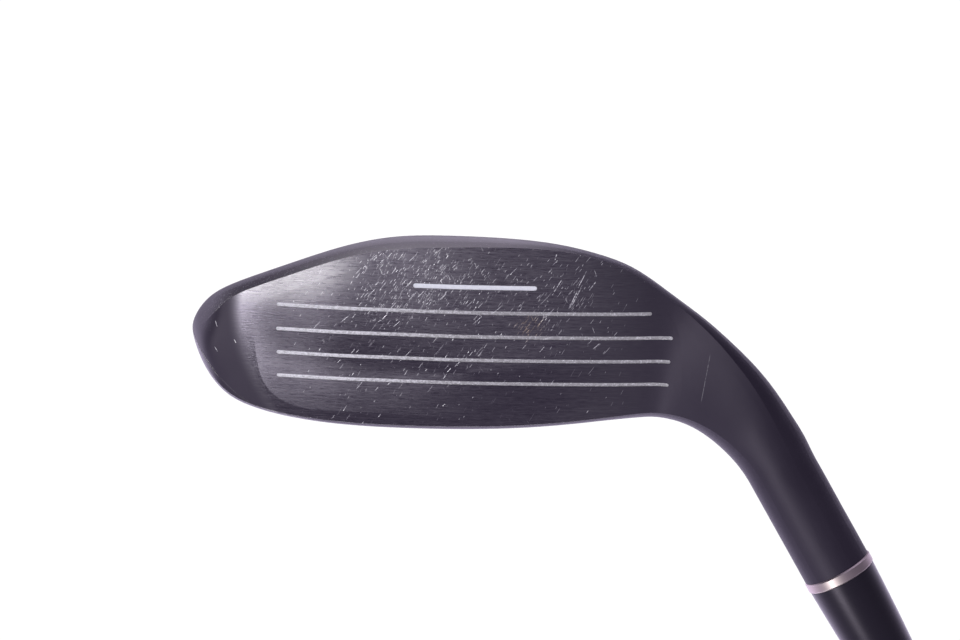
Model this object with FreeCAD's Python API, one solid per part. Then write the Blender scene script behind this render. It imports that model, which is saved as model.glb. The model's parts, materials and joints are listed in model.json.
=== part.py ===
# Left-handed hybrid golf club: a hollow steel head with a welded face, a bonded crown and a sole weight
# screw, a ferrule, a tapered graphite shaft and a rubber grip.
# Frame in millimetres: origin on the ground straight below the face centre and in the upright plane of the
# shaft axis, +X towards the toe, -Y the way the face looks, +Z up.
import FreeCAD
import Part
import math
import os

Vec = FreeCAD.Vector

# ---- driving dimensions --------------------------------------------------------------------------------
LIE = math.radians(59.2)            # shaft to ground
LOFT = math.radians(19.0)           # face to the upright plane of the shaft
HEEL_X = -33.85                     # where the shaft axis meets the ground
CROWN_FILLET = 24.6                 # hollow curve between the crown and the hosel
HOSEL_R = 6.6
HOSEL_TOP = 70.9                    # along the shaft axis from the ground
BORE_R = 4.8
BORE_DEPTH = 32.0
SHAFT_TIP_R = 4.7

FACE_ROLL = 0.55                    # how far the face stands forward of its chord at mid height
TOPLINE = 1.1                       # drop from the crown's crest to the face's top edge
NECK_ROUND = 0.08                   # how far the section has turned from blade to oval where the neck begins

SHELL = 1.8                         # sole and skirt wall
FACE_T = 2.1                        # face wall, measured along Y
CROWN_T = 0.9
CROWN_LIP = 0.3                     # crown thickness where it feathers into the face, along Y
CROWN_GAP = 0.15                    # hairline round the bonded crown
LEDGE = 4.5                         # width of the rebate that carries the crown
JOINT_SKEW = 0.05                   # the joint runs forward towards the toe by this slope
CROWN_NECK_R = 24.0                 # the crown stops short of the hosel on this radius
FACE_SLAB = 4.0                     # depth behind the leading edge that the welded face can reach

GROOVE_W = 0.75
GROOVE_DEPTH = 0.45
PAINT_SINK = 0.10                   # paint surface below the face
LINE_PIECE = 4.0                    # longest straight piece of a line's outline
# Scorelines, then the alignment line: height on the face plane, heel end x, toe end x.
GROOVES = [(13.8, -33.4, 37.15), (18.4, -37.6, 37.3), (22.95, -37.4, 37.25), (27.5, -37.3, 37.3)]
ALIGN_W = 0.9
ALIGN = (9.03, -11.6, 11.5)

SCREW_X, SCREW_Y = 4.0, 43.0        # sole weight screw, seen from below
SCREW_TILT = math.radians(21.0)     # its axis leans to the rear
SCREW_SINK = 0.35                   # head below the sole
HEAD_R, HEAD_H = 6.95, 3.4
SHANK_R, SHANK_L = 3.0, 8.0         # M6 x 1, eight turns engaged
WASHER_R, WASHER_T = 6.8, 0.6
WELL_R = 7.0
THREAD_R = 3.05
BOSS_R, BOSS_L = 9.0, 15.0
SOCKET_L = 2.2
PAD = (-8, 1, -5, 24, 10, 9.5)      # swing weight pad: corner and size, its foot following the sole
PAD_FILLET = 3.0
GLUE_R, GLUE_AT = 26.0, (22, 26, -20)
PIN_L, PLUG_L = 30.0, 8.0           # tip weight pin inside the shaft, and the plug above it

RING_R, RING_L = 6.8, 2.0
COLLAR_R, COLLAR_L = 6.62, 27.0
SHAFT_SEAT = 1.0                    # tip weight flange under the shaft
SHAFT_TIP_BORE, SHAFT_BUTT_BORE = 3.0, 6.55
SHAFT_PARALLEL = 60.0               # straight tip section above the bore mouth
SHAFT_BUTT_R = 7.62
CLUB_END = 1028.7                   # butt end, along the shaft axis from the ground
CAP_L = 5.0
CAP_R = 13.25
VENT_R = 1.6
GRIP_L = 262.0
GRIP_MOUTH_R = 9.25
TAPE_T = 0.15

AXIS = Vec(-math.cos(LIE), 0, math.sin(LIE))      # shaft direction, from ground to grip
GROUND = Vec(HEEL_X, 0, 0)
Y = Vec(0, 1, 0)

# Head outline in front view: sole and crown heights at stations along X, heel to toe.
SOLE = [(-32.2, 6.2), (-26, 3.5), (-19, 1.65), (-12, 0.7), (-3, 0.12), (6, 0.0), (13, 0.25), (19, 0.9),
        (25, 2.4), (35, 5.8), (45, 9.6), (49.8, 11.7), (52.3, 13.7), (54.0, 15.9), (55.1, 18.8)]
CROWN = [(-32.2, 34.3), (-22.4, 35.5), (-10, 36.9), (5, 37.5), (17, 37.5), (28, 36.9), (36, 35.8),
         (42, 34.3), (46.8, 32.3), (50, 29.8), (52.2, 26.8), (53.9, 23.4), (55.1, 19.4)]
# Head outline in plan: leading edge and rear edge.
FRONT = [(-32.2, -4.6), (-20, -7.2), (0, -8.0), (20, -7.05), (34, -4.7), (41, -3.2), (44, -2.4), (47, -1.1),
         (50.3, 1.4), (53.1, 6.0), (55.1, 14.5)]
REAR = [(-32.2, 29), (-20, 43), (-8, 52.5), (6, 56.5), (18, 55), (30, 50), (40, 42.5), (46.5, 35.5),
        (51.3, 28), (53.9, 21.5), (55.1, 15.5)]
# Height of the leading-edge bevel above the sole.
BEVEL = [(-32.2, 0.5), (-16, 0.85), (-8, 1.2), (0, 1.55), (8, 1.85), (23, 2.05), (42, 2.15)]
# Neck outline, from the crown fillet's centre: share of the turn from head to hosel, then distance.
NECK_HEEL = [(0, 52.0), (0.09, 49.4), (0.18, 47.35), (0.27, 45.35), (0.38, 43.4), (0.5, 41.75), (0.65, 40.0),
             (0.8, 38.7), (1, CROWN_FILLET + 2 * HOSEL_R)]
NECK_CROWN = [(0, CROWN_FILLET), (0.15, CROWN_FILLET + 0.5), (0.35, CROWN_FILLET + 0.8),
              (0.65, CROWN_FILLET + 0.4), (1, CROWN_FILLET)]
NECK_REAR = [(0, 29), (0.25, 20.5), (0.5, 13.2), (0.75, 8.6), (1, HOSEL_R)]
NECK_FRONT = [(0, -4.6), (0.1, -3.0), (0.25, -3.4), (0.45, -5.0), (0.7, -6.4), (1, -HOSEL_R)]


def along(points, x):
    """Smooth curve through (x, value) points: cubic pieces whose slopes never overshoot the points."""
    xs = [p[0] for p in points]
    vs = [p[1] for p in points]
    x = min(max(x, xs[0]), xs[-1])
    step = [(vs[i + 1] - vs[i]) / (xs[i + 1] - xs[i]) for i in range(len(xs) - 1)]
    slope = [step[0]]
    for i in range(1, len(step)):
        same_way = step[i - 1] * step[i] > 0
        slope.append(2 * step[i - 1] * step[i] / (step[i - 1] + step[i]) if same_way else 0)
    slope.append(step[-1])
    i = max(k for k in range(len(xs) - 1) if x >= xs[k])
    h = xs[i + 1] - xs[i]
    t = (x - xs[i]) / h
    return (vs[i] * (1 + 2 * t) * (1 - t) ** 2 + slope[i] * h * t * (1 - t) ** 2
            + vs[i + 1] * t * t * (3 - 2 * t) + slope[i + 1] * h * t * t * (t - 1))


def smoothstep(a, b, x):
    t = min(max((x - a) / (b - a), 0), 1)
    return t * t * (3 - 2 * t)


# The neck turns about this point, in the plane of the shaft axis.
PIVOT_H = CROWN[0][1] + CROWN_FILLET
PIVOT = Vec(GROUND.x - PIVOT_H / math.tan(LIE) + (CROWN_FILLET + HOSEL_R) / math.sin(LIE), 0, PIVOT_H)
NECK_END = (PIVOT - GROUND).dot(AXIS)             # where the round hosel begins, along the shaft axis


def head_station(x, wall, front_wall):
    """Plane x = constant: (sole point, up, height, front, rear, bevel height, roundness)."""
    low = along(SOLE, x) + wall
    high = along(CROWN, x) - wall
    toe_round = smoothstep(45, 52.5, x)
    heel_round = NECK_ROUND * smoothstep(-22, -32.2, x)
    return (Vec(x, 0, low), Vec(0, 0, 1), high - low, along(FRONT, x) + front_wall,
            along(REAR, x) - wall, along(BEVEL, x), max(toe_round, heel_round))


def neck_station(share, wall, front_wall):
    """Plane through the pivot, turned by a share of the angle from the head to the hosel."""
    turn = share * LIE
    up = Vec(math.sin(turn), 0, math.cos(turn))
    far = along(NECK_HEEL, share) - wall
    near = along(NECK_CROWN, share) + wall
    roundness = NECK_ROUND + (1 - NECK_ROUND) * smoothstep(0, 1, share)
    return (PIVOT - up * far, up, far - near, along(NECK_FRONT, share) + front_wall,
            along(NECK_REAR, share) - wall, BEVEL[0][1], roundness)


def hosel_station(distance):
    up = Vec(math.sin(LIE), 0, math.cos(LIE))
    return (GROUND + AXIS * distance - up * HOSEL_R, up, 2 * HOSEL_R, -HOSEL_R, HOSEL_R, BEVEL[0][1], 1)


def oval(height, front, rear):
    """Six cubic arcs of an ellipse that fills the section's box: each is four (y, h) points."""
    marks = [200, 135, 90, 0, -90, -125, -160]
    cy, ry, rh = (front + rear) / 2, (rear - front) / 2, height / 2
    arcs = []
    for a, b in zip(marks, marks[1:]):
        a, b = math.radians(a), math.radians(b)
        k = 4 / 3 * math.tan((b - a) / 4)
        unit = [(math.cos(a), math.sin(a)), (math.cos(a) - k * math.sin(a), math.sin(a) + k * math.cos(a)),
                (math.cos(b) + k * math.sin(b), math.sin(b) - k * math.cos(b)), (math.cos(b), math.sin(b))]
        arcs.append([(cy + ry * u, rh + rh * v) for u, v in unit])
    return arcs


def blade(height, front, rear, bevel):
    """The head's section: face, topline, rear crown, rear sole, front sole and leading-edge bevel."""
    depth = rear - front
    size = min(1, height / 26)
    bevel, drop = bevel * size, TOPLINE * size
    lean = min((height - bevel - drop) * math.tan(LOFT), 0.42 * depth)
    edge = (front, bevel)
    top = (front + lean, height - drop)
    crest_y = top[0] + min(9, 0.3 * (rear - top[0]))
    rear_h = 0.46 * height
    keel_y = front + min(17, 0.42 * depth)
    cut_y = front + 2.0 * size
    roll = 4 / 3 * FACE_ROLL * (height / 33) ** 2
    face = [edge, (front + lean / 3 - roll, bevel + (top[1] - bevel) / 3),
            (front + 2 * lean / 3 - roll, bevel + 2 * (top[1] - bevel) / 3), top]
    topline = [top, (top[0] + 1.3 * size, top[1] + 0.75 * drop),
               (crest_y - 0.5 * (crest_y - top[0]), height), (crest_y, height)]
    crown = [(crest_y, height), (crest_y + 0.42 * (rear - crest_y), height),
             (rear, rear_h + 0.5 * (height - rear_h)), (rear, rear_h)]
    heel_sole = [(rear, rear_h), (rear, 0.48 * rear_h), (keel_y + 0.5 * (rear - keel_y), 0), (keel_y, 0)]
    fore_sole = [(keel_y, 0), (keel_y - 0.5 * (keel_y - cut_y), 0), (cut_y + 2.4 * size, 0.12 * bevel),
                 (cut_y, 0.42 * bevel)]
    bevel_cut = [(cut_y, 0.42 * bevel), (cut_y - 0.8 * size, 0.56 * bevel),
                 (front + 0.45 * size, 0.78 * bevel), edge]
    return [face, topline, crown, heel_sole, fore_sole, bevel_cut]


def section_poles(station):
    """The section's six cubic arcs in space: 6 x 4 points, blended from the blade to the oval."""
    base, up, height, front, rear, bevel, roundness = station
    arcs = []
    for sharp, soft in zip(blade(height, front, rear, bevel), oval(height, front, rear)):
        flat = [(s[0] + (r[0] - s[0]) * roundness, s[1] + (r[1] - s[1]) * roundness)
                for s, r in zip(sharp, soft)]
        arcs.append([base + Y * y + up * h for y, h in flat])
    return arcs


def skin(tip, stations):
    """Closed solid through the stations: six surfaces that share their edges, the tip and a flat end."""
    nets = [[[tip] * 4] * 6] + [section_poles(s) for s in stations]
    steps = [sum((q - p).Length for a, b in zip(m, n) for p, q in zip(a, b)) for m, n in zip(nets, nets[1:])]
    marks = [sum(steps[:i]) for i in range(len(nets))]
    faces, rim = [], []
    for arc in range(6):
        rows = []
        for pole in range(4):
            line = Part.BSplineCurve()
            line.interpolate(Points=[net[arc][pole] for net in nets], Parameters=marks)
            rows.append(line)
        surface = Part.BSplineSurface()
        surface.buildFromPolesMultsKnots([row.getPoles() for row in rows], [4, 4],
                                         rows[0].getMultiplicities(), [0, 1], rows[0].getKnots(),
                                         False, False, 3, rows[0].Degree)
        faces.append(surface.toShape())
        end = Part.BezierCurve()
        end.setPoles(nets[-1][arc])
        rim.append(end.toShape())
    faces.append(Part.Face(Part.Wire(rim)))
    shell = Part.makeShell(faces)
    shell.sewShape()
    solid = Part.Solid(shell)
    return solid if solid.Volume > 0 else solid.reversed()


def head_loft(wall, front_wall, neck_to=1.0, with_hosel=False):
    """The head as one smooth solid from toe tip to neck or hosel, its surface set in by the walls."""
    tip = Vec(SOLE[-1][0] - 1.6 * wall, (FRONT[-1][1] + REAR[-1][1]) / 2, (SOLE[-1][1] + CROWN[-1][1]) / 2)
    shares = [0.999, 0.98, 0.935, 0.86, 0.76, 0.62, 0.46, 0.28, 0.1, -0.1, -0.3, -0.46]
    head_end = SOLE[0][0]
    stations = [head_station(x, wall, front_wall) for x in [tip.x * s for s in shares] + [head_end]]
    turns = [s for s in (0.12, 0.25, 0.38, 0.52, 0.66, 0.8, 0.9) if s < neck_to] + [neck_to]
    stations += [neck_station(s, wall, front_wall) for s in turns]
    if with_hosel:
        stations += [hosel_station(d) for d in (NECK_END + 2, NECK_END + 8, HOSEL_TOP)]
    return skin(tip, stations)


def seat(point, direction, across=Y):
    """Placement whose Z runs along direction from the point, with X as near to across as it can be."""
    z = Vec(direction).normalize()
    x = across - z * across.dot(z)
    return FreeCAD.Placement(point, FreeCAD.Rotation(x, z.cross(x), z, "ZXY"))


def turned(profile, place):
    """Solid of revolution about Z from (radius, height) corners, then placed."""
    corners = [Vec(r, 0, h) for r, h in profile]
    solid = Part.Face(Part.makePolygon(corners + corners[:1])).revolve(Vec(), Vec(0, 0, 1), 360)
    solid.Placement = place
    return solid


def rod(radius, start, length, place):
    solid = Part.makeCylinder(radius, length, Vec(0, 0, start))
    solid.Placement = place
    return solid


def pipe(outer, inner, start, length, place):
    return turned([(inner, start), (outer, start), (outer, start + length), (inner, start + length)], place)


# ---- crown joint ---------------------------------------------------------------------------------------
def crown_region(grow):
    """Everything above the joint: down behind the topline, round the toe, then back along the skirt."""
    joint = [(7.6, 37.6), (7.1, 34), (7.0, 30), (6.8, 26.5), (7.2, 24), (9.6, 21.9), (13.4, 20.5),
             (20, 19.2), (32, 17.8), (75, 14.5)]
    reach = 70
    edge = Part.BSplineCurve()
    edge.interpolate([Vec(-reach, y - grow + JOINT_SKEW * reach, z - grow) for y, z in joint])
    ends = [edge.StartPoint, edge.EndPoint]
    lid = [ends[1], Vec(-reach, ends[1].y, 70), Vec(-reach, ends[0].y, 70), ends[0]]
    outline = Part.Wire([edge.toShape()] + [Part.makeLine(a, b) for a, b in zip(lid, lid[1:])])
    block = Part.Face(outline).extrude(Vec(2 * reach, -2 * reach * JOINT_SKEW, 0))
    neck = Part.makeCylinder(CROWN_NECK_R - grow, 120, Vec(-54, -2, -20))
    return block.cut(neck)


# ---- face and its lines --------------------------------------------------------------------------------
FACE_IN = Vec(0, math.cos(LOFT), -math.sin(LOFT))     # into the head, square to the face
FACE_UP = Vec(0, math.sin(LOFT), math.cos(LOFT))
EDGE_Z = BEVEL[3][1]                                  # leading edge height at the middle


def moved(shape, by):
    copy = shape.copy()
    copy.translate(by)
    return copy


def face_region():
    """Slab that holds the welded face: a smooth outline in front view, cut off parallel to the face."""
    low = [(40.6, 13.2), (33, 10.2), (22, 6.4), (8, 4.0), (-8, 3.9), (-20, 5.2), (-30, 8.4)]
    heel = [(-36.5, 13), (-39, 18.5), (-39.6, 25), (-39, 31)]
    high = [(-30, 31.6), (-12, 33.6), (10, 34.3), (26, 33.9), (36, 32.3)]
    toe = [(39.6, 29.0), (41.2, 23), (41.8, 17.6)]
    outline = Part.BSplineCurve()
    outline.interpolate(Points=[Vec(x, -30, z) for x, z in low + heel + high + toe], PeriodicFlag=True)
    block = Part.Face(Part.Wire(outline.toShape())).extrude(Vec(0, 60, 0))
    back = Part.makeBox(200, 60, 200, Vec(-100, 0, -100))
    foot = Vec(0, FRONT[2][1] - EDGE_Z * math.tan(LOFT), 0)
    back.Placement = FreeCAD.Placement(foot + FACE_IN * FACE_SLAB,
                                       FreeCAD.Rotation(Vec(1, 0, 0), -math.degrees(LOFT)))
    return block.cut(back)


def line_bar(line, width):
    """Round-ended bar square to the face that marks out one line. Its sides are made of short pieces, so
    that a mesh of the cut follows the bulge of the face."""
    height, heel, toe = line
    middle = Vec(0, FRONT[2][1] + (height - EDGE_Z) * math.tan(LOFT), height) - FACE_IN * 4
    half = width / 2
    start, end = heel + half, toe - half
    count = math.ceil((end - start) / LINE_PIECE)
    marks = [start + (end - start) * i / count for i in range(count + 1)]
    top = [Vec(x, 0, 0) + FACE_UP * half for x in marks]
    bottom = [Vec(x, 0, 0) - FACE_UP * half for x in reversed(marks)]
    pieces = [Part.makeLine(a, b) for side in (top, bottom) for a, b in zip(side, side[1:])]
    pieces.insert(count, Part.Arc(top[-1], Vec(toe, 0, 0), bottom[0]).toShape())
    pieces.append(Part.Arc(bottom[-1], Vec(heel, 0, 0), top[0]).toShape())
    bar = Part.Face(Part.Wire(pieces)).extrude(FACE_IN * 8)
    bar.translate(middle)
    return bar


# ---- sole weight ---------------------------------------------------------------------------------------
def screw_socket(place):
    """Six-lobe driver socket, opening at the screw head."""
    depth = SCREW_SINK + SOCKET_L
    lobes = []
    for i in range(6):
        turn = math.radians(60 * i)
        lobes.append(Part.makeCylinder(0.75, depth, Vec(2.1 * math.cos(turn), 2.1 * math.sin(turn), 0)))
    socket = Part.makeCylinder(1.95, depth).fuse(lobes)
    socket.Placement = place
    return socket


def rounded_block(box, fillet):
    """Block with its upright edges rounded, from (x, y, z, length, width, height)."""
    block = Part.makeBox(box[3], box[4], box[5], Vec(*box[:3]))
    upright = [e for e in block.Edges if abs(e.tangentAt(e.FirstParameter).z) > 0.9]
    return block.makeFillet(fillet, upright)


# ---- ferrule -------------------------------------------------------------------------------------------
def collar(start, place):
    """Collar with a bulging taper, thin at the shaft."""
    end_r = SHAFT_TIP_R + 0.35
    base, tip = Vec(COLLAR_R, 0, start), Vec(end_r, 0, start + COLLAR_L)
    side = Part.BezierCurve()
    side.setPoles([base, Vec(COLLAR_R - 0.25, 0, start + 9), Vec(COLLAR_R - 0.7, 0, start + 19), tip])
    inner_low, inner_high = Vec(SHAFT_TIP_R, 0, start), Vec(SHAFT_TIP_R, 0, start + COLLAR_L)
    outline = Part.Wire([side.toShape(), Part.makeLine(tip, inner_high),
                         Part.makeLine(inner_high, inner_low), Part.makeLine(inner_low, base)])
    solid = Part.Face(outline).revolve(Vec(), Vec(0, 0, 1), 360)
    solid.Placement = place
    return solid


if __name__ == "__main__":
    os.makedirs("parts", exist_ok=True)
    outer = head_loft(0, 0, with_hosel=True)
    under_crown = head_loft(CROWN_T, CROWN_LIP, neck_to=0.5)
    cavity = head_loft(SHELL, FACE_T, neck_to=0.25)
    shaft_line = seat(GROUND, AXIS)
    bore_floor = HOSEL_TOP - BORE_DEPTH
    tip_end = bore_floor + SHAFT_SEAT
    butt_end = CLUB_END - CAP_L
    grip_start = butt_end - GRIP_L
    parts = {}

    # Sole weight seat: straight into the sole, leaning to the rear.
    probe = Part.makeLine(Vec(SCREW_X, SCREW_Y, -20), Vec(SCREW_X, SCREW_Y, 15))
    sole_point = min((v.Point for v in probe.common(outer).Vertexes), key=lambda p: p.z)
    inward = seat(sole_point, Vec(0, -math.sin(SCREW_TILT), math.cos(SCREW_TILT)))
    washer_top = SCREW_SINK + HEAD_H
    well_floor = washer_top + WASHER_T
    shank_end = washer_top + SHANK_L

    # Head body: hollow shell, boss and bore, with the crown's rebate and the face's opening taken out.
    boss = rod(BOSS_R, -10, BOSS_L + 10, inward).common(outer)
    body = outer.cut(cavity).fuse(boss)
    body = body.cut(crown_region(CROWN_GAP).cut(under_crown))
    body = body.cut(crown_region(-LEDGE))
    body = body.cut(face_region())
    body = body.cut(rod(WELL_R, -10, 10 + well_floor, inward))
    body = body.cut(rod(THREAD_R, 0, shank_end + 1, inward))
    parts["head_body"] = body.cut(rod(BORE_R, bore_floor, BORE_DEPTH + 5, shaft_line))
    parts["crown_shell"] = outer.cut(under_crown).common(crown_region(0))

    # Face: the front wall inside the face region, with the scorelines sunk into it and painted.
    face = outer.cut(cavity).common(face_region())
    groove_floor = moved(outer, FACE_IN * GROOVE_DEPTH)
    paint_top = moved(outer, FACE_IN * PAINT_SINK)
    lines = [("scoreline_paint_%d" % (i + 1), line_bar(g, GROOVE_W)) for i, g in enumerate(GROOVES)]
    lines.append(("alignment_line_paint", line_bar(ALIGN, ALIGN_W)))
    for name, bar in lines:
        sunk = bar.cut(groove_floor)
        face = face.cut(sunk)
        parts[name] = sunk.common(paint_top)
    parts["face_plate"] = face

    # Sole weight: washer on the well floor, screw through it into the boss.
    parts["weight_washer"] = pipe(WASHER_R, SHANK_R + 0.3, washer_top, WASHER_T, inward)
    head_edge = 0.5
    screw = turned([(0, SCREW_SINK), (HEAD_R - head_edge, SCREW_SINK), (HEAD_R, SCREW_SINK + head_edge),
                    (HEAD_R, washer_top), (SHANK_R, washer_top), (SHANK_R, shank_end - 0.6),
                    (SHANK_R - 0.6, shank_end), (0, shank_end)], inward)
    parts["sole_weight_screw"] = screw.cut(screw_socket(inward))

    # Inside the head: weight on the front of the sole, and a setting of rattle glue on its toe side.
    parts["swing_weight_pad"] = rounded_block(PAD, PAD_FILLET).common(cavity)
    parts["rattle_glue"] = Part.makeSphere(GLUE_R, Vec(*GLUE_AT)).common(cavity)

    # Shaft joint: weight in the tip, glue in the bore, then the ring and the collar on the shaft.
    flange_r = SHAFT_TIP_R - 0.1
    parts["tip_weight"] = turned([(0, bore_floor), (flange_r, bore_floor), (flange_r, tip_end),
                                  (SHAFT_TIP_BORE, tip_end), (SHAFT_TIP_BORE, tip_end + PIN_L),
                                  (0, tip_end + PIN_L)], shaft_line)
    parts["hosel_glue"] = pipe(BORE_R, SHAFT_TIP_R, tip_end, HOSEL_TOP - tip_end, shaft_line)
    ring_edge = 0.25
    ring_top = HOSEL_TOP + RING_L
    parts["ferrule_ring"] = turned([(SHAFT_TIP_R, HOSEL_TOP), (RING_R - ring_edge, HOSEL_TOP),
                                    (RING_R, HOSEL_TOP + ring_edge), (RING_R, ring_top - ring_edge),
                                    (RING_R - ring_edge, ring_top), (SHAFT_TIP_R, ring_top)], shaft_line)
    parts["ferrule_collar"] = collar(ring_top, shaft_line)

    # Shaft: straight tip, then an even taper to the butt.
    taper_start = HOSEL_TOP + SHAFT_PARALLEL
    parts["shaft_tube"] = turned([(SHAFT_TIP_BORE, tip_end), (SHAFT_TIP_R, tip_end),
                                  (SHAFT_TIP_R, taper_start), (SHAFT_BUTT_R, butt_end),
                                  (SHAFT_BUTT_BORE, butt_end), (SHAFT_TIP_BORE, taper_start)], shaft_line)
    parts["shaft_plug"] = rod(SHAFT_TIP_BORE, tip_end + PIN_L, PLUG_L, shaft_line)

    # Grip: tape on the shaft, then the sleeve and the cap it ends in.
    rate = (SHAFT_BUTT_R - SHAFT_TIP_R) / (butt_end - taper_start)
    mouth_r = SHAFT_BUTT_R - rate * GRIP_L
    parts["grip_tape"] = turned([(mouth_r, grip_start), (mouth_r + TAPE_T, grip_start),
                                 (SHAFT_BUTT_R + TAPE_T, butt_end), (SHAFT_BUTT_R, butt_end)], shaft_line)
    lip = 1.2
    parts["grip_sleeve"] = turned([(mouth_r + TAPE_T, grip_start), (GRIP_MOUTH_R - lip, grip_start),
                                   (GRIP_MOUTH_R, grip_start + lip), (CAP_R, butt_end),
                                   (SHAFT_BUTT_R + TAPE_T, butt_end)], shaft_line)
    parts["grip_end_cap"] = turned([(VENT_R, butt_end), (CAP_R, butt_end), (CAP_R, CLUB_END - 2),
                                    (CAP_R - 0.6, CLUB_END - 0.6), (CAP_R - 2, CLUB_END), (VENT_R, CLUB_END)],
                                   shaft_line)

    for name, shape in parts.items():
        shape.exportStep("parts/%s.step" % name)
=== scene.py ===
# Looks of a left-handed hybrid golf club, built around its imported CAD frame.
# Metres, +Z up, +X towards the toe, -Y the way the face looks. Shader sizes and wear marks are in mm.
import json
import math
import bmesh
import bpy
from mathutils import Matrix, Vector


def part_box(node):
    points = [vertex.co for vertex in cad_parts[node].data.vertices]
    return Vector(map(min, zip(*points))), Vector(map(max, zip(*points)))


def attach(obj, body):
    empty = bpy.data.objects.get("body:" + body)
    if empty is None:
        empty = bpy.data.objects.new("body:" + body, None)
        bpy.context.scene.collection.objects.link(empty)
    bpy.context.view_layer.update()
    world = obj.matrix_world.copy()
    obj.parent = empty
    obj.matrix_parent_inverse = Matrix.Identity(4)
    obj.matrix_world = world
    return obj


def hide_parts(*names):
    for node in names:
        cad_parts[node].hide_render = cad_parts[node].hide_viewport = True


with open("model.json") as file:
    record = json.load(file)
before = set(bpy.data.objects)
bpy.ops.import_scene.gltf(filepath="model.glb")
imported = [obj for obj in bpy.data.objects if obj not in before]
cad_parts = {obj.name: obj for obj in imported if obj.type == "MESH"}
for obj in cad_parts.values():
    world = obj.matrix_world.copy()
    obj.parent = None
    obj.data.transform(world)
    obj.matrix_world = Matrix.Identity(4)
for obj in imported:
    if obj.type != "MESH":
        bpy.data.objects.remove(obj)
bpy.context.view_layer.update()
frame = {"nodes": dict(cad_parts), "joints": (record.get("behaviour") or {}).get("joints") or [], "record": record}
scene = bpy.context.scene
NODES = frame["nodes"]
MM = 0.001

# ---- places taken from the frame -----------------------------------------------------------------
mounts = {m["name"]: m for m in frame["record"]["mounts"]}
joints = {j["name"]: j for j in frame["joints"]}
BUTT = Vector(mounts["vent_hole"]["pos_m"])
SHAFT_AXIS = Vector(mounts["vent_hole"]["axis"]).normalized()
GRIP_MIDDLE = Vector(mounts["hand_hold"]["pos_m"])
SCREW_AT = Vector(joints["weight_turn"]["pos_m"])
SCREW_OUT = Vector(joints["weight_turn"]["axis"]).normalized()
LOFT = math.radians(19)              # how far the face leans back from upright
FACE_UP = Vector((0, math.sin(LOFT), math.cos(LOFT)))
FACE_OUT = Vector((0, -math.cos(LOFT), math.sin(LOFT)))
face_low, face_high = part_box("face_plate")
FACE_MIDDLE = (face_low + face_high) / 2


def reach(node, origin, axis, wider_than=0.0):
    """(lowest, highest, smallest radius, largest radius) of a node's vertices about an axis, in metres."""
    heights, radii = [], []
    for vertex in NODES[node].data.vertices:
        offset = vertex.co - origin
        height = offset.dot(axis)
        radius = (offset - axis * height).length
        if radius > wider_than:
            heights.append(height)
            radii.append(radius)
    return min(heights), max(heights), min(radii), max(radii)


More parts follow.
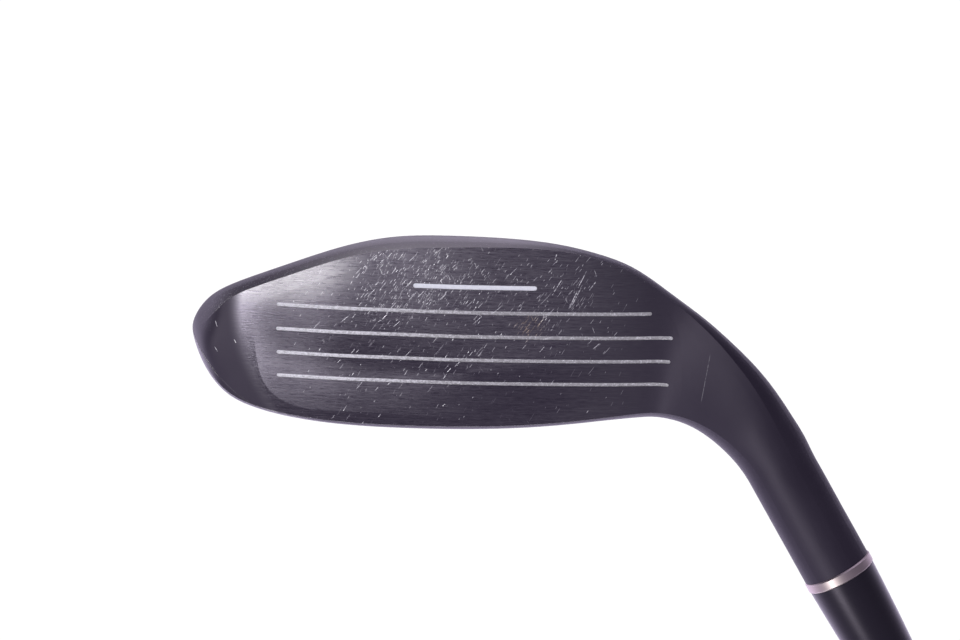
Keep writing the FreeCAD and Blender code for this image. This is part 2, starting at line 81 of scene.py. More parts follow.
# ---- node building -------------------------------------------------------------------------------
class Net:
    """Short-hand for building a node tree."""

    def __init__(self, tree):
        self.tree = tree
        self.tree.nodes.clear()
        self.kept_place = None

    def add(self, kind, inputs=None, **settings):
        """New node with its settings, and with inputs given by name or number."""
        node = self.tree.nodes.new(kind)
        for key, value in settings.items():
            setattr(node, key, value)
        for key, value in (inputs or {}).items():
            self.put(node.inputs[key], value)
        return node

    def put(self, socket, value):
        """Link a node's output to a socket, or set the socket to a plain value."""
        if isinstance(value, bpy.types.NodeSocket):
            self.tree.links.new(value, socket)
        elif socket.type == "RGBA" and len(value) == 3:
            socket.default_value = (*value, 1)
        else:
            socket.default_value = value

    def math(self, operation, a, b=0.0, c=0.0):
        return self.add("ShaderNodeMath", {0: a, 1: b, 2: c}, operation=operation).outputs[0]

    def times(self, *values):
        result = values[0]
        for value in values[1:]:
            result = self.math("MULTIPLY", result, value)
        return result

    def plus(self, *values):
        result = values[0]
        for value in values[1:]:
            result = self.math("ADD", result, value)
        return result

    def minus(self, a, b):
        return self.math("SUBTRACT", a, b)

    def most(self, *values):
        result = values[0]
        for value in values[1:]:
            result = self.math("MAXIMUM", result, value)
        return result

    def size(self, value):
        return self.math("ABSOLUTE", value)

    def ramp(self, value, start, end, low=0.0, high=1.0):
        """Smooth step from low at start to high at end; start may be the larger."""
        if start > end:
            start, end, low, high = end, start, high, low
        limits = {"From Min": start, "From Max": end, "To Min": low, "To Max": high}
        node = self.add("ShaderNodeMapRange", {"Value": value, **limits}, interpolation_type="SMOOTHSTEP")
        return node.outputs[0]

    def mix(self, share, a, b):
        return self.add("ShaderNodeMix", {0: share, 6: a, 7: b}, data_type="RGBA").outputs[2]

    def between(self, share, a, b):
        return self.add("ShaderNodeMix", {0: share, 2: a, 3: b}, data_type="FLOAT").outputs[0]

    def place(self):
        """Position in the frame, in millimetres."""
        if self.kept_place is None:
            point = self.add("ShaderNodeTexCoord").outputs["Object"]
            node = self.add("ShaderNodeVectorMath", {0: point, "Scale": 1 / MM}, operation="SCALE")
            self.kept_place = node.outputs[0]
        return self.kept_place

    def split(self, vector):
        return self.add("ShaderNodeSeparateXYZ", {0: vector}).outputs

    def parts(self, vector):
        """The same numbers as split gives, in a way that leaves the renderer more room for other nodes."""
        return [self.dot(vector, axis) for axis in ((1, 0, 0), (0, 1, 0), (0, 0, 1))]

    def join(self, x, y, z):
        return self.add("ShaderNodeCombineXYZ", {0: x, 1: y, 2: z}).outputs[0]

    def dot(self, vector, other):
        other = other if isinstance(other, bpy.types.NodeSocket) else tuple(other)
        node = self.add("ShaderNodeVectorMath", {0: vector, 1: other}, operation="DOT_PRODUCT")
        return node.outputs["Value"]

    def normal(self):
        return self.add("ShaderNodeNewGeometry").outputs["Normal"]

    def about(self, origin, axis):
        """Distances from an origin in metres: two across an axis and one along it, in millimetres."""
        across = axis.orthogonal().normalized()
        start = tuple(origin / MM)
        node = self.add("ShaderNodeVectorMath", {0: self.place(), 1: start}, operation="SUBTRACT")
        return [self.dot(node.outputs[0], direction) for direction in (across, axis.cross(across), axis)]

    def noise(self, vector, scale=1.0, detail=2.0, roughness=0.5):
        return self.add("ShaderNodeTexNoise", {"Vector": vector, "Scale": scale, "Detail": detail,
                                               "Roughness": roughness}).outputs[0]

    def bump(self, height, depth_mm, strength=1.0, normal=None):
        inputs = {"Height": height, "Distance": depth_mm * MM, "Strength": strength}
        if normal is not None:
            inputs["Normal"] = normal
        return self.add("ShaderNodeBump", inputs).outputs[0]

    def edges(self, radius_mm):
        """1 on sharp outer and inner edges within the radius, 0 on smooth surface."""
        rounded = self.add("ShaderNodeBevel", {"Radius": radius_mm * MM}, samples=4).outputs[0]
        return self.ramp(self.dot(rounded, self.normal()), 0.992, 0.93)

    def strokes(self, angle, pitch, length, width, seed, amount):
        """Short scratches scattered over the face, at most one to a cell of pitch (along, across), in mm.
        The angle is from +X in the upright plane, amount is the share of cells that carry one, and the
        scratches differ in slope, bend, length and brightness."""
        turn = math.radians(angle)
        run = Vector((math.cos(turn), 0, math.sin(turn)))
        side = Vector((-math.sin(turn), 0, math.cos(turn)))
        u = self.plus(self.times(self.dot(self.place(), run), 1 / pitch[0]), seed * 3.7)
        v = self.plus(self.times(self.dot(self.place(), side), 1 / pitch[1]), seed * 5.3)
        spot = self.join(u, v, 0.0)
        cell = self.add("ShaderNodeTexVoronoi", {"Vector": spot, "Scale": 1.0}, voronoi_dimensions="2D")
        first, second, third = self.parts(cell.outputs["Color"])
        middle_u, middle_v, _ = self.parts(cell.outputs["Position"])
        du = self.times(self.minus(u, middle_u), pitch[0])
        dv = self.times(self.minus(v, middle_v), pitch[1])
        slope = self.times(self.minus(second, 0.5), 0.4)
        bend = self.times(self.minus(first, 0.5), 0.05)
        dv = self.size(self.plus(dv, self.times(du, slope), self.times(du, du, bend)))
        half = self.times(self.plus(first, 0.3), length / 2)
        share = self.math("DIVIDE", self.size(du), half)
        body = self.times(self.ramp(share, 1.0, 0.4), self.ramp(dv, width / 2, width / 8))
        present = self.math("LESS_THAN", third, amount)
        bright = self.plus(self.times(second, second, 0.8), 0.12)
        return self.times(body, present, bright)

    def mark(self, start, end, width):
        """One long scratch between two (x, z) points in mm, thinning towards its ends."""
        across, up = end[0] - start[0], end[1] - start[1]
        length = math.hypot(across, up)
        x, _, z = self.split(self.place())
        run = self.plus(self.times(self.minus(x, start[0]), across / length),
                        self.times(self.minus(z, start[1]), up / length))
        side = self.size(self.plus(self.times(self.minus(x, start[0]), -up / length),
                                   self.times(self.minus(z, start[1]), across / length)))
        share = self.size(self.minus(self.times(run, 2 / length), 1.0))
        return self.times(self.ramp(share, 1.0, 0.7), self.ramp(side, width / 2, width / 6))

    def dressed(self, normal, facing):
        """The normal, turning evenly towards the toe, because the weld round the face is ground flush."""
        bulge_end, toe_end = 30, 47
        lean_at_bulge, lean_gained = 0.07, 0.12
        x = self.split(self.place())[0]
        nx, ny, nz = self.split(normal)
        along = self.times(self.minus(x, bulge_end), 1 / (toe_end - bulge_end))
        even = self.plus(self.times(along, along, lean_gained), lean_at_bulge)
        share = self.times(facing, self.ramp(x, 34, 38), self.ramp(x, 50, 46))
        turned = self.join(self.between(share, nx, even), ny, nz)
        return self.add("ShaderNodeVectorMath", {0: turned}, operation="NORMALIZE").outputs[0]

    def patch(self, x, z, wide, high):
        """Soft oval spot on the face, 1 in the middle, all in mm."""
        px, _, pz = self.split(self.place())
        u = self.times(self.minus(px, x), 1 / wide)
        v = self.times(self.minus(pz, z), 1 / high)
        return self.ramp(self.plus(self.times(u, u), self.times(v, v)), 1.7, 0.0)


def material(name):
    """New material and the net of its empty node tree."""
    look = bpy.data.materials.new(name)
    look.use_nodes = True
    return look, Net(look.node_tree)


def finish_surface(net, **inputs):
    """End a net in a Principled surface. Underscores stand for the spaces in its inputs' names."""
    named = {key.replace("_", " "): value for key, value in inputs.items()}
    surface = net.add("ShaderNodeBsdfPrincipled", named)
    net.add("ShaderNodeOutputMaterial", {"Surface": surface.outputs[0]})


# ---- head coating --------------------------------------------------------------------------------
# Scuffed patches on the struck side of the face: middle x, z and half sizes, in mm.
SCUFFS = [(7.6, 5.8, 4.4, 3.4), (8.2, 11.2, 2.8, 3.0), (16.3, 5.3, 4.2, 2.6), (-10.2, 16.6, 2.2, 2.0),
          (-19.0, 9.2, 3.0, 3.4), (-13.0, 15.0, 3.0, 2.6), (16.5, 12.0, 5.0, 4.6)]
WIDE_SCUFF = (1.0, 9.0, 14.0, 5.0)
BRASSY_SMEAR = (-10.2, 16.6, 3.2, 3.0)
# The toe beside the leading edge: a painted highlight where the toe's softbox reflects, on partly worn metal.
TOE_SHEEN_AND_WEAR = (37, 5, 14, 8)
# Layers of scattered scratches: angle in degrees, cell size along and across, length and width in mm, and
# how many cells carry one compared with the first layer.
SCRATCHES = [(62, (1.5, 0.42), 1.3, 0.10, 1.0), (56, (2.3, 0.60), 2.1, 0.11, 1.0),
             (68, (0.9, 0.36), 0.7, 0.11, 1.0), (52, (4.2, 1.5), 3.6, 0.11, 0.8),
             (120, (1.8, 0.9), 1.3, 0.11, 0.4)]
# Longer single scratches: start and end as (x, z) in mm.
LONG_MARKS = [((-19.2, 9.2), (-17.6, 13.0)), ((-19.9, 8.6), (-18.1, 12.4)), ((-20.8, 5.4), (-19.3, 8.6)),
              ((-16.2, 7.2), (-14.7, 9.8)), ((-22.6, 7.4), (-21.3, 9.3)), ((-13.4, 14.2), (-11.8, 16.5)),
              ((-23.8, 19.3), (-22.5, 20.5)), ((-15.0, 2.5), (-14.7, 3.7))]
HEEL_MARK = ((-44.6, 20.4), (-43.3, 30.3))
TOE_NICKS = [((48.6, 13.0), (48.2, 14.6)), ((47.5, 12.6), (48.1, 13.8)), ((49.0, 17.0), (48.6, 18.2)),
             ((45.4, 20.4), (45.0, 21.2)), ((49.2, 22.0), (48.6, 23.0))]
PAINT_DARK = (0.022, 0.018, 0.030)
PAINT_LIGHT = (0.034, 0.029, 0.044)
PLATE_DARK = (0.056, 0.048, 0.068)
PLATE_LIGHT = (0.120, 0.111, 0.131)
# Pale metal for that painted highlight at the toe, partly wear.
PLATE_SHEEN_AND_WEAR = (0.300, 0.290, 0.300)
PAINT_GLOSS = (1.0, 0.88, 1.10)
# Pale bare metal for the worn front of the sole, and for the sharp edges, where it is partly a painted highlight.
BARE_AND_EDGE_SHEEN = (0.50, 0.50, 0.47)
BRASSY = (0.50, 0.37, 0.24)
PALE = (0.80, 0.79, 0.82)


def head_coating(name, gloss=0.0):
    """Satin black paint on steel. The face is darkened metal brushed heel to toe, scratched where balls
    strike; the front of the sole is worn pale, and the sharp edges and the toe beside the leading edge are made
    paler, partly from wear and partly as a painted highlight."""
    look, net = material(name)
    place = net.place()
    x, y, z = net.split(place)
    normal = net.normal()
    square_on = net.dot(normal, FACE_OUT)
    facing = net.ramp(square_on, 0.80, 0.90)
    cloud = net.noise(place, 0.10, 3.0, 0.6)
    grain = net.noise(place, 5.0, 4.0, 0.75)

    # Brushed metal: long fine lines, ending softly at the toe and fading under the paint at the heel.
    off_middle = net.minus(z, 14.0)
    to_toe = net.plus(x, net.times(off_middle, off_middle, 0.017))
    plate = net.times(facing, net.ramp(to_toe, 47.0, 43.4), net.ramp(x, -40, -12))
    height = net.dot(place, FACE_UP)
    lines = net.noise(net.join(net.times(x, 0.10), net.times(height, 3.0), 0.0), 1.0, 3.0, 0.7)
    hairs = net.noise(net.join(net.times(x, 0.5), net.times(height, 8.0), 7.0), 1.0, 2.0, 0.7)
    brush = net.ramp(net.plus(net.times(lines, 0.4), net.times(hairs, 0.6)), 0.26, 0.74)

    # Scratches: a scatter that thins out to the heel and the crown, dense in the scuffed patches.
    struck = net.times(facing, net.ramp(x, -34, -14), net.ramp(x, 40, 20), net.ramp(z, 32, 14, 0.35, 1.0))
    scuffed = net.most(*[net.patch(*scuff) for scuff in SCUFFS])
    scuffed = net.plus(net.times(scuffed, 0.34), net.times(net.patch(*WIDE_SCUFF), 0.16))
    amount = net.times(struck, net.plus(net.times(cloud, 0.20), scuffed))
    marks = net.most(*[net.strokes(angle, pitch, length, width, seed, net.times(amount, share))
                       for seed, (angle, pitch, length, width, share) in enumerate(SCRATCHES, 1)])
    single = net.most(*[net.mark(start, end, 0.20) for start, end in LONG_MARKS + TOE_NICKS])
    broken = net.ramp(net.noise(place, 2.4, 2.0, 0.7), 0.40, 0.54, 0.15, 1.0)
    faint = net.mark(*HEEL_MARK, 0.16)
    single = net.times(net.most(net.times(single, 0.8), net.times(faint, 0.2)), broken)
    marks = net.most(marks, net.times(single, net.ramp(square_on, 0.2, 0.5)))

    # Rubbing: a lighter tone with pale specks on the front of the sole, and sharp edges made pale, partly worn and
    # partly a painted highlight.
    under = net.times(net.ramp(net.dot(normal, Vector((0, -0.5, -0.87))), 0.30, 0.75), net.ramp(y, 16, -2),
                      net.ramp(x, -40, -24))
    centre = net.times(net.ramp(x, -24, -4), net.ramp(x, 44, 10, 0.12, 1.0))
    specks = net.ramp(net.noise(place, 2.6, 3.0, 0.8), 0.56, 0.66)
    # Sharp edges made paler, partly from wear and partly as a painted highlight along the crease.
    edge = net.times(net.edges(0.3), net.minus(1.0, facing), net.ramp(x, -34, -12))
    edge = net.times(edge, net.ramp(net.noise(place, 0.9, 3.0, 0.7), 0.34, 0.58))

    paint = net.mix(cloud, PAINT_DARK, PAINT_LIGHT)
    metal = net.mix(brush, PLATE_DARK, PLATE_LIGHT)
    # Painted highlight: the plate is made paler at the toe beside the leading edge, where the toe's softbox
    # reflects, over some wear.
    toe_sheen_and_wear = net.times(net.patch(*TOE_SHEEN_AND_WEAR), net.between(brush, 0.10, 0.65))
    metal = net.mix(toe_sheen_and_wear, metal, PLATE_SHEEN_AND_WEAR)
    colour = net.mix(plate, paint, metal)
    colour = net.mix(net.times(under, centre, 0.75), colour, BARE_AND_EDGE_SHEEN)
    colour = net.mix(net.times(under, specks, 0.34), colour, PALE)
    # Painted highlight, partly wear: the sharp edges turn pale.
    colour = net.mix(net.times(edge, 0.75), colour, BARE_AND_EDGE_SHEEN)
    tint = net.mix(net.patch(*BRASSY_SMEAR), PALE, BRASSY)
    colour = net.mix(net.times(marks, 0.9), colour, tint)
    satin = net.between(grain, 0.46 - gloss, 0.58 - gloss)
    rough = net.between(plate, satin, net.between(brush, 0.22, 0.36))
    relief = net.bump(net.between(plate, grain, brush), 0.014, 0.6, net.dressed(normal, facing))
    relief = net.bump(marks, -0.03, 0.5, relief)
    finish_surface(net, Base_Color=colour, Metallic=plate, Roughness=rough, Normal=relief,
                   Specular_IOR_Level=0.26, Specular_Tint=net.mix(plate, PAINT_GLOSS, (1, 1, 1)),
                   Anisotropic=net.times(plate, 0.55), Tangent=tuple(FACE_UP))
    return look


# ---- other materials -----------------------------------------------------------------------------
def grained(name, low, high, rough, scale=2.0, metallic=0.0, depth=0.02):
    """Fine mottled finish between two colours, with matching roughness and relief."""
    look, net = material(name)
    grain = net.noise(net.place(), scale, 4.0, 0.65)
    finish_surface(net, Base_Color=net.mix(grain, low, high), Metallic=metallic,
                   Roughness=net.between(grain, *rough), Normal=net.bump(grain, depth, 0.4))
    return look


def turned_metal(name, low, high, origin, axis, rough):
    """Lathe-turned metal: fine rings about the axis, and light worn edges."""
    look, net = material(name)
    u, v, w = net.about(origin, axis)
    radius = net.math("SQRT", net.plus(net.times(u, u), net.times(v, v)))
    rings = net.noise(net.join(net.times(radius, 4.0), net.times(w, 4.0), 0.0), 1.0, 3.0, 0.7)
    smudge = net.noise(net.place(), 0.35, 3.0, 0.6)
    colour = net.mix(net.plus(net.times(rings, 0.6), net.times(smudge, 0.4)), low, high)
    colour = net.mix(net.times(net.edges(0.12), 0.5), colour, (0.85, 0.84, 0.83))
    finish_surface(net, Base_Color=colour, Metallic=1.0, Roughness=net.between(smudge, *rough),
                   Normal=net.bump(rings, 0.012, 0.5))
    return look


def groove_paint(name, low, high, pits, fade=0.0):
    """Hand-filled paint: mottled and pitted, darker towards the heel and lighter towards the toe by the fade."""
    look, net = material(name)
    x, y, z = net.split(net.place())
    mottle = net.noise(net.join(net.times(x, 0.9), net.times(y, 2.0), net.times(z, 2.0)), 1.6, 4.0, 0.75)
    speck = net.ramp(net.noise(net.place(), 2.3, 3.0, 0.8), 0.56, 0.64)
    full = net.plus(net.ramp(mottle, 0.30, 0.70), net.times(net.ramp(x, -10, 36, -1.0, 0.6), fade))
    colour = net.mix(full, low, high)
    colour = net.mix(net.times(speck, pits), colour, (0.95, 0.95, 1.0))
    finish_surface(net, Base_Color=colour, Roughness=net.between(mottle, 0.45, 0.7),
                   Normal=net.bump(mottle, 0.05, 0.6))
    return look


def shaft_coat():
    """Clear gloss over dark composite, with the faint criss-cross of wound fibre."""
    look, net = material("shaft_composite")
    u, v, w = net.about(BUTT, SHAFT_AXIS)
    turn = net.math("ARCTAN2", v, u)
    left = net.math("SINE", net.plus(net.times(turn, 9.0), net.times(w, 1.6)))
    right = net.math("SINE", net.minus(net.times(turn, 9.0), net.times(w, 1.6)))
    weave = net.ramp(net.times(left, right), -0.6, 0.6)
    fibre = net.noise(net.join(net.times(turn, 7.0), net.times(w, 0.25), 0.0), 2.0, 3.0, 0.7)
    colour = net.mix(net.times(weave, fibre), (0.014, 0.014, 0.017), (0.052, 0.053, 0.060))
    finish_surface(net, Base_Color=colour, Roughness=net.between(weave, 0.28, 0.42), Coat_Weight=1.0,
                   Coat_Roughness=0.06, Normal=net.bump(fibre, 0.01, 0.3))
    return look


def rubber(name, sheen):
    """Moulded rubber: fine pebble grain, dusty in the grooves and slightly polished on top by the hands."""
    look, net = material(name)
    pebble = net.noise(net.place(), 4.5, 3.0, 0.7)
    cloud = net.noise(net.place(), 0.05, 3.0, 0.6)
    hollow = net.add("ShaderNodeNewGeometry").outputs["Pointiness"]
    raised = net.ramp(hollow, 0.47, 0.53)
    colour = net.mix(raised, (0.034, 0.034, 0.036), (0.014, 0.014, 0.015))
    colour = net.mix(net.times(cloud, 0.5), colour, (0.030, 0.029, 0.030))
    finish_surface(net, Base_Color=colour, Roughness=net.between(net.times(raised, cloud), 0.82, sheen),
                   Normal=net.bump(pebble, 0.05, 0.5))
    return look


def ferrule_gloss():
    """Polished black plastic with faint turning lines and a few hairline rubs."""
    look, net = material("ferrule_gloss")
    w = net.times(net.dot(net.place(), SHAFT_AXIS), 3.0)
    rings = net.noise(net.join(w, 0.0, 0.0), 1.0, 3.0, 0.6)
    rubs = net.strokes(100, (4.0, 1.6), 3.5, 0.07, 6, 0.10)
    colour = net.mix(rings, (0.008, 0.007, 0.012), (0.013, 0.012, 0.018))
    colour = net.mix(net.times(rubs, 0.4), colour, (0.12, 0.12, 0.13))
    finish_surface(net, Base_Color=colour, Roughness=net.between(rings, 0.30, 0.38),
                   Normal=net.bump(rings, 0.003, 0.3), Specular_IOR_Level=0.35, Specular_Tint=PAINT_GLOSS)
    return look


HEAD_COAT = head_coating("head_coating")
LINE_PAINT = groove_paint("line_paint", (0.32, 0.31, 0.33), (0.79, 0.78, 0.83), pits=0.6, fade=0.5)
GRIP_RUBBER = rubber("grip_rubber", sheen=0.55)
SCREW_STEEL = turned_metal("screw_steel", (0.30, 0.29, 0.30), (0.48, 0.47, 0.48), SCREW_AT, SCREW_OUT,
                           (0.26, 0.4))
LOOKS = {
    "head_body": HEAD_COAT,
    "face_plate": HEAD_COAT,
    "crown_shell": head_coating("crown_coating", gloss=0.12),
    "alignment_line_paint": groove_paint("white_paint", (0.76, 0.77, 0.85), (0.90, 0.91, 0.97), pits=0.2),
    "weight_washer": turned_metal("washer_alloy", (0.5, 0.5, 0.52), (0.66, 0.66, 0.68), SCREW_AT, SCREW_OUT,
                                  (0.3, 0.45)),
    "swing_weight_pad": grained("weight_metal", (0.26, 0.26, 0.27), (0.38, 0.38, 0.39), (0.4, 0.6), scale=3,
                                metallic=1.0),
    "rattle_glue": grained("soft_glue", (0.66, 0.55, 0.32), (0.80, 0.72, 0.48), (0.2, 0.35), scale=1),
    "tip_weight": turned_metal("turned_brass", (0.62, 0.43, 0.18), (0.82, 0.63, 0.32), GRIP_MIDDLE,
                               SHAFT_AXIS, (0.25, 0.35)),
    "hosel_glue": grained("cured_glue", (0.42, 0.38, 0.27), (0.55, 0.5, 0.38), (0.2, 0.3), scale=3),
    "ferrule_ring": turned_metal("ring_alloy", (0.36, 0.30, 0.305), (0.48, 0.41, 0.41), GRIP_MIDDLE,
                                 SHAFT_AXIS, (0.38, 0.50)),
    "ferrule_collar": ferrule_gloss(),
    "shaft_tube": shaft_coat(),
    "shaft_plug": grained("plug_foam", (0.12, 0.12, 0.12), (0.26, 0.26, 0.26), (0.8, 0.9), scale=6,
                          depth=0.2),
    "grip_tape": grained("paper_tape", (0.62, 0.57, 0.44), (0.78, 0.74, 0.62), (0.7, 0.85), scale=4,
                         depth=0.06),
    "grip_sleeve": GRIP_RUBBER,
    "grip_end_cap": GRIP_RUBBER,
    "sole_weight_screw": SCREW_STEEL,
}
for number in range(1, 5):
    LOOKS["scoreline_paint_%d" % number] = LINE_PAINT
for node, look in LOOKS.items():
    mesh = NODES[node].data
    mesh.materials.clear()
    mesh.materials.append(look)


# ---- turned pieces -------------------------------------------------------------------------------
def turned_mesh(name, rows, columns, origin, axis, look, ring=False):
    """Mesh turned about an axis. Each row gives (radius, distance along the axis) in mm at an angle.
    A ring's last row joins its first; otherwise both ends close on the axis."""
    across = axis.orthogonal().normalized()
    up = axis.cross(across)
    turns = [2 * math.pi * i / columns for i in range(columns)]
    spokes = [across * math.cos(turn) + up * math.sin(turn) for turn in turns]
    shape = bmesh.new()
    grid = []
    for row in rows:
        points = [row(turn) for turn in turns]
        grid.append([shape.verts.new(origin + (spoke * radius + axis * height) * MM)
                     for spoke, (radius, height) in zip(spokes, points)])
    pairs = list(zip(grid, grid[1:])) + ([(grid[-1], grid[0])] if ring else [])
    for low, high in pairs:
        for i in range(columns):
            j = (i + 1) % columns
            shape.faces.new((low[i], low[j], high[j], high[i]))
    if not ring:
        for end, row in ((grid[0], rows[0]), (grid[-1], rows[-1])):
            tip = shape.verts.new(origin + axis * (row(0)[1] * MM))
            for i in range(columns):
                shape.faces.new((end[i], end[(i + 1) % columns], tip))
    bmesh.ops.recalc_face_normals(shape, faces=shape.faces)
    mesh = bpy.data.meshes.new(name)
    shape.to_mesh(mesh)
    shape.free()
    mesh.shade_smooth()
    mesh.materials.append(look)
    piece = bpy.data.objects.new(name, mesh)
    scene.collection.objects.link(piece)
    return piece


def level(radius, height):
    """A plain round row."""
    return lambda turn: (radius, height)


def smooth(start, end, value):
    """Smooth step from 0 at start to 1 at end."""
    share = min(max((value - start) / (end - start), 0), 1)
    return share * share * (3 - 2 * share)


def span(value, start, end, soft=1.0):
    """1 between start and end, 0 outside, rising and falling over the soft length inside them."""
    return smooth(start, start + soft, value) * (1 - smooth(end - soft, end, value))


def groove(value, half_width):
    """1 in the middle of a groove that repeats at every whole number, 0 beside it."""
    return 1 - smooth(0.35 * half_width, half_width, abs(value - round(value)))


# ---- grip ----------------------------------------------------------------------------------------
GRIP_ROW = 0.45                      # spacing of the mesh rows along the grip
GRIP_COLUMNS = 240
MOUTH_LIP = 1.2                      # radius of the rolled edge at the mouth
TREAD_STARTS = 16                    # helical grooves each way round
TREAD_PITCH = 5.2                    # along the grip between crossings
TREAD_DEPTH = 0.5
RING_DEPTH = 0.4
MOUTH_RINGS = (4, 14.5)              # these four are distances from the mouth
TREAD_FROM = 16
PLAIN_BAND = (112, 153)
BAND_RIBS = (116, 149)
TREAD_TO = 27                        # these two are distances from the butt
BUTT_RINGS = (3, 24)


def grip_piece():
    """Rubber sleeve: rolled mouth, ring grooves, diamond tread with a ribbed band, and butt rings."""
    low, high, _, outer_butt = [value / MM for value in reach("grip_sleeve", BUTT, SHAFT_AXIS)]
    mouth_end = low + 2
    near_mouth = []
    for vertex in NODES["grip_sleeve"].data.vertices:
        offset = vertex.co - BUTT
        height = offset.dot(SHAFT_AXIS)
        if height / MM < mouth_end:
            near_mouth.append((offset - SHAFT_AXIS * height).length / MM)
    bore_mouth, rim_mouth = min(near_mouth), max(near_mouth)
    bore_butt = reach("grip_tape", BUTT, SHAFT_AXIS)[3] / MM
    length = high - low

    def outline(turn, distance):
        body = rim_mouth + (outer_butt - rim_mouth) * distance / length
        if distance < MOUTH_LIP:
            return body - MOUTH_LIP + math.sqrt(MOUTH_LIP ** 2 - (MOUTH_LIP - distance) ** 2)
        wound = TREAD_STARTS * turn / (2 * math.pi)
        along = distance / TREAD_PITCH
        diamonds = max(groove(wound + along, 0.17), groove(wound - along, 0.17))
        diamonds *= span(distance, TREAD_FROM, length - TREAD_TO) * (1 - span(distance, *PLAIN_BAND))
        ribs = groove(distance / 4, 0.18) * span(distance, *BAND_RIBS)
        rings = groove(distance / 3, 0.22) * span(distance, *MOUTH_RINGS, soft=0.5)
        butt_rings = groove(distance / 5, 0.14) * span(length - distance, *BUTT_RINGS)
        return body - TREAD_DEPTH * diamonds - RING_DEPTH * (ribs + rings + butt_rings)

    count = round(length / GRIP_ROW)
    outer = [lambda turn, d=length * i / count: (outline(turn, d), low + d) for i in range(count + 1)]
    bore = [(bore_butt, high), ((bore_butt + bore_mouth) / 2, (low + high) / 2), (bore_mouth, low)]
    rows = outer + [level(*point) for point in bore]
    return turned_mesh("grip_rubber_sleeve", rows, GRIP_COLUMNS, BUTT, SHAFT_AXIS, GRIP_RUBBER, ring=True)


CAP_SHOULDER = 2.2                   # radius of the rounded shoulder
CAP_NOTCHES = 12


def cap_piece():
    """End cap: rounded shoulder, a groove round the side, and a dished top with radial notches."""
    low, high, bore, rim = [value / MM for value in reach("grip_end_cap", BUTT, SHAFT_AXIS)]
    rows = [level(bore, low), level(rim, low)]
    for height, depth in ((1.0, 0), (1.25, 0.35), (1.6, 0.35), (1.85, 0)):
        rows.append(level(rim - depth, low + height))
    for step in range(9):
        turn = math.radians(90 * step / 8)
        radius = rim - CAP_SHOULDER * (1 - math.cos(turn))
        rows.append(level(radius, high - CAP_SHOULDER * (1 - math.sin(turn))))

    def notched(radius, depth):
        around = CAP_NOTCHES / (2 * math.pi)
        return lambda turn: (radius, high - depth * (0.3 + 0.7 * groove(around * turn, 0.2)))

    for radius, depth in ((10.6, 0.0), (10.2, 0.35), (9.9, 0.45)):
        rows.append(level(radius, high - depth))
    for radius in (9.4, 8.2, 7.0):
        rows.append(notched(radius, 0.8))
    for radius, depth in ((6.5, 0.45), (6.2, 0.35), (5.8, 0.0), (3.4, 0.0), (bore + 0.5, 0.1), (bore, 0.6)):
        rows.append(level(radius, high - depth))
    return turned_mesh("grip_rubber_cap", rows, 144, BUTT, SHAFT_AXIS, GRIP_RUBBER, ring=True)


# ---- sole weight screw ---------------------------------------------------------------------------
THREAD_R = 3.0
THREAD_PITCH = 1.0
THREAD_DEPTH = 0.5
TURN_ROWS = 8                        # mesh rows to one turn of the thread
HEAD_RING = (4.6, 5.2)               # radii of the shallow groove in the head's top
SOCKET_DEPTH = 2.2
SOCKET_CORE, LOBE_AT, LOBE_R = 1.95, 2.1, 0.75


def lobed(turn):
    """Radius of the six-lobe driver socket at an angle."""
    off = (turn + math.pi / 6) % (math.pi / 3) - math.pi / 6
    inside = LOBE_R ** 2 - (LOBE_AT * math.sin(off)) ** 2
    return max(SOCKET_CORE, LOBE_AT * math.cos(off) + math.sqrt(inside)) if inside > 0 else SOCKET_CORE


def screw_piece():
    """Weight screw: lobed socket, turned head with a ring groove, and a cut thread."""
    low, high, _, head_r = [value / MM for value in reach("sole_weight_screw", SCREW_AT, SCREW_OUT)]
    under = reach("sole_weight_screw", SCREW_AT, SCREW_OUT, 0.9 * head_r * MM)[0] / MM
    floor_at = high - SOCKET_DEPTH

    def socket(grow, height):
        return lambda turn: (lobed(turn) + grow, height)

    def thread(height):
        def row(turn):
            wound = (under - height) / THREAD_PITCH + turn / (2 * math.pi)
            crest = abs(2 * (wound - math.floor(wound)) - 1)
            return THREAD_R - THREAD_DEPTH * (1 - smooth(0.15, 0.85, crest)), height
        return row

    rows = [socket(-0.25, floor_at), socket(0, floor_at + 0.25), socket(0, high - 0.2), socket(0.2, high)]
    ring_in, ring_out = HEAD_RING
    for radius, depth in ((3.9, 0), (ring_in, 0), (ring_in + 0.1, 0.2), (ring_out - 0.1, 0.2), (ring_out, 0),
                          (head_r - 0.5, 0), (head_r - 0.12, 0.12), (head_r, 0.5)):
        rows.append(level(radius, high - depth))
    rows.append(level(head_r, under + 0.15))
    rows.append(level(head_r - 0.15, under))
    rows.append(level(THREAD_R, under))
    spacing = THREAD_PITCH / TURN_ROWS
    steps = round((under - low - 0.6) / spacing)
    rows += [thread(under - spacing * (i + 1)) for i in range(steps)]
    rows.append(level(THREAD_R - 0.6, low))
    return turned_mesh("weight_screw_threaded", rows, 96, SCREW_AT, SCREW_OUT, SCREW_STEEL)


grip = grip_piece()
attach(grip, "club")
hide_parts("grip_sleeve")
cap = cap_piece()
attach(cap, "club")
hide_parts("grip_end_cap")
screw = screw_piece()
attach(screw, "weight_screw")
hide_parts("sole_weight_screw")

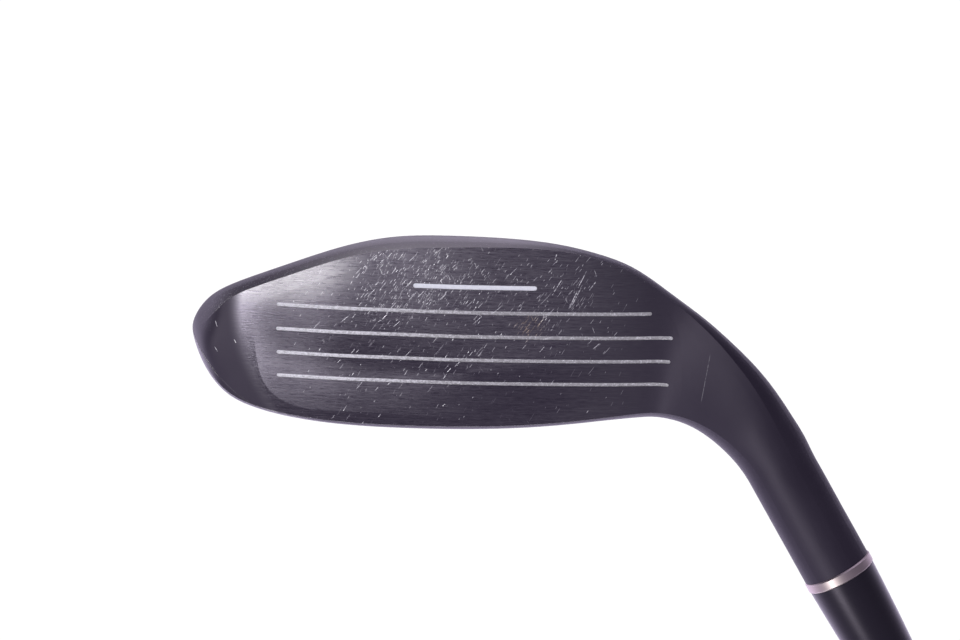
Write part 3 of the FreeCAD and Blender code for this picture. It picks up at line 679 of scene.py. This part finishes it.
# ---- floor ---------------------------------------------------------------------------------------
# The floor only shows from above. From below, and for light bouncing about, it lets everything through.
FLOOR = 15.0
corners = [(-FLOOR, -FLOOR, 0), (FLOOR, -FLOOR, 0), (FLOOR, FLOOR, 0), (-FLOOR, FLOOR, 0)]
floor_mesh = bpy.data.meshes.new("floor")
floor_mesh.from_pydata(corners, [], [(0, 1, 2, 3)])
floor = bpy.data.objects.new("floor", floor_mesh)
scene.collection.objects.link(floor)
floor_look, net = material("pale_floor")
cloud = net.noise(net.place(), 0.004, 3.0)
pale = net.add("ShaderNodeBsdfDiffuse", {"Color": net.mix(cloud, (0.58, 0.64, 0.49), (0.62, 0.68, 0.52))})
clear = net.add("ShaderNodeBsdfTransparent")
above = net.minus(1.0, net.add("ShaderNodeNewGeometry").outputs["Backfacing"])
seen = net.add("ShaderNodeLightPath").outputs["Is Camera Ray"]
shows = net.times(above, seen)
floor_mix = net.add("ShaderNodeMixShader", {0: shows, 1: clear.outputs[0], 2: pale.outputs[0]})
net.add("ShaderNodeOutputMaterial", {"Surface": floor_mix.outputs[0]})
floor_mesh.materials.append(floor_look)

# ---- light ---------------------------------------------------------------------------------------
# A white tent: bright behind and below the club, dim from the camera's side.
world = bpy.data.worlds.new("studio")
scene.world = world
world.use_nodes = True
net = Net(world.node_tree)
_, dy, dz = net.split(net.add("ShaderNodeTexCoord").outputs["Generated"])
tent = net.plus(net.ramp(dy, -0.35, 0.1, 0.38, 0.65), net.ramp(dy, 0.1, 0.6, 0.0, 1.2))
tent = net.times(tent, net.ramp(dz, 0.05, -0.45, 1.0, 0.25))
tent = net.most(tent, net.ramp(dz, -0.7, -0.95, 0.0, 0.95))
seen = net.add("ShaderNodeLightPath").outputs["Is Camera Ray"]
shade = net.mix(seen, (1.0, 0.90, 1.18), (1.0, 1.0, 1.0))
background = net.add("ShaderNodeBackground", {"Color": shade, "Strength": net.between(seen, tent, 1.05)})
net.add("ShaderNodeOutputWorld", {"Surface": background.outputs[0]})


def toward(azimuth, elevation, distance, target):
    """Point at a distance from the target; azimuth 0 is in front of the face, positive to the toe."""
    a, e = math.radians(azimuth), math.radians(elevation)
    away = Vector((math.sin(a) * math.cos(e), -math.cos(a) * math.cos(e), math.sin(e)))
    return Vector(target) + distance * away


def softbox(name, place, target, size, watts, colour=(1, 1, 1), only_on=None):
    light = bpy.data.lights.new(name, "AREA")
    light.shape = "RECTANGLE"
    light.size, light.size_y = size
    light.energy = watts
    light.color = colour
    lamp = bpy.data.objects.new(name, light)
    lamp.location = place
    lamp.rotation_euler = (Vector(target) - Vector(place)).to_track_quat("-Z", "Y").to_euler()
    lamp.visible_camera = False
    lamp.light_linking.receiver_collection = only_on
    scene.collection.objects.link(lamp)


# The toe's softbox lights only the club, so that it leaves no pool of light on the floor.
receivers = bpy.data.collections.new("lit_by_toe_softbox")
for item in [*NODES.values(), grip, cap, screw]:
    receivers.objects.link(item)
toe_side = toward(31, 26, 1.3, FACE_MIDDLE)
softbox("toe_softbox", toe_side, FACE_MIDDLE, (0.40, 0.40), 9.4, (0.98, 1.0, 0.96), receivers)
softbox("overhead", Vector((-0.2, 0.3, 2.6)), Vector((-0.2, 0, 0.4)), (2.2, 2.2), 18)

# ---- camera --------------------------------------------------------------------------------------
# It looks at the face from just below the ground line, with the club upside down in view.
VIEW_DOWN = math.radians(-3.5)
ROLL = math.radians(1.48)
DISTANCE = 0.420
TARGET = Vector((-1.13, -1.0, 15.5)) * MM
camera_data = bpy.data.cameras.new("camera")
camera_data.sensor_width = 36
camera_data.lens = 83.475
camera_data.clip_start = 0.02
camera_data.clip_end = 60
camera = bpy.data.objects.new("camera", camera_data)
forward = Vector((0, math.cos(VIEW_DOWN), -math.sin(VIEW_DOWN)))
right = Vector((1, 0, 0))
up = right.cross(forward)
image_right = -math.cos(ROLL) * right - math.sin(ROLL) * up
image_up = math.sin(ROLL) * right - math.cos(ROLL) * up
turn = Matrix((image_right, image_up, -forward)).transposed()
camera.matrix_world = Matrix.Translation(TARGET - DISTANCE * forward) @ turn.to_4x4()
scene.collection.objects.link(camera)
scene.camera = camera
scene.view_settings.view_transform = "Standard"
